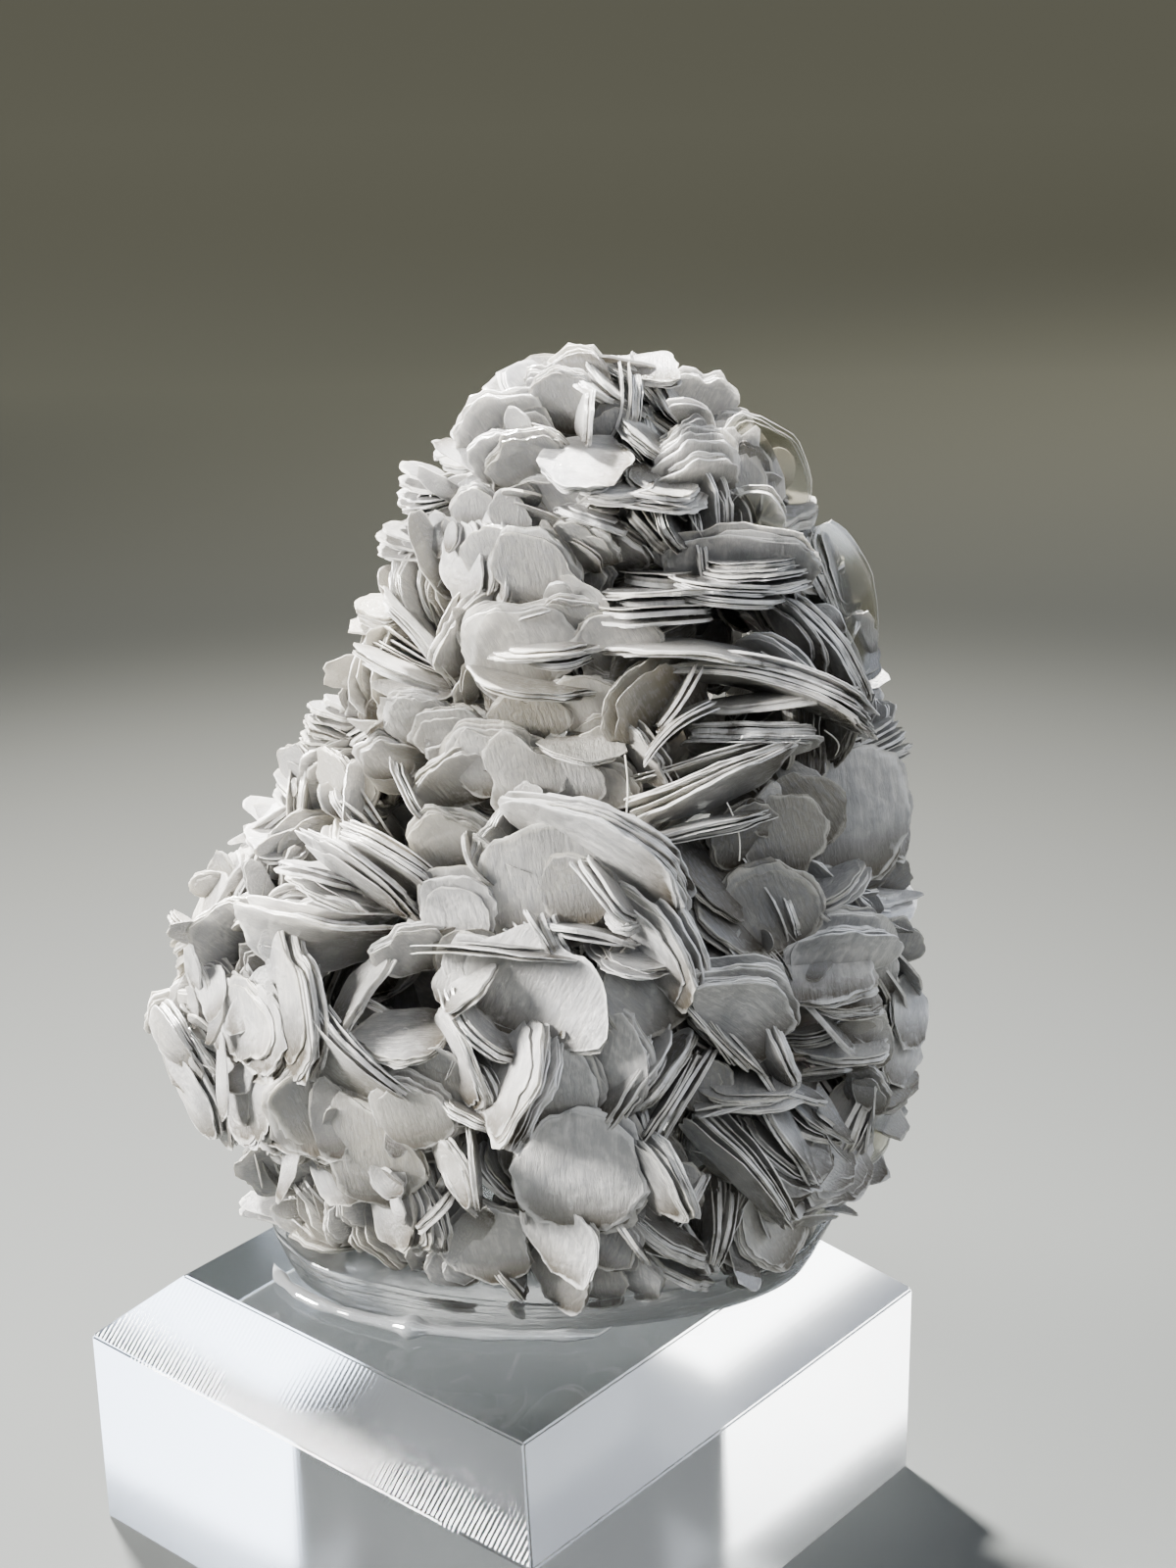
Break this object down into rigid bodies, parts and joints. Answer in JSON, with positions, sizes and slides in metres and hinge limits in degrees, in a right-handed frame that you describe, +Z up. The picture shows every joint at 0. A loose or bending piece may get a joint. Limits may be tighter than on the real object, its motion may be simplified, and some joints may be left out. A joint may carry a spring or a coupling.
{
  "type": "mica crystal cluster on clear block",
  "caption": "Upright rosette cluster of thin silvery mica plates, its foot cast in clear resin, fixed on a clear square block with a bevelled top edge.",
  "frame": {"origin": "centre of the block's underside", "axes": "+Z up through the block to the crystals' crown; X and Y along the block's sides; the specimen's wide side faces the +X -Y corner"},
  "size_m": [0.0421, 0.0399, 0.0773],
  "materials": {
    "mica": "pearly cleavage plates, silvery off-white",
    "resin": "clear cast resin, glossy",
    "glue": "clear set glue, very glossy",
    "acrylic": "clear cast acrylic, polished faces"
  },
  "bodies": {
    "root": {"mica_cluster": "mica", "resin_foot": "resin", "glue_bead": "glue", "acrylic_block": "acrylic"}
  },
  "joints": []
}
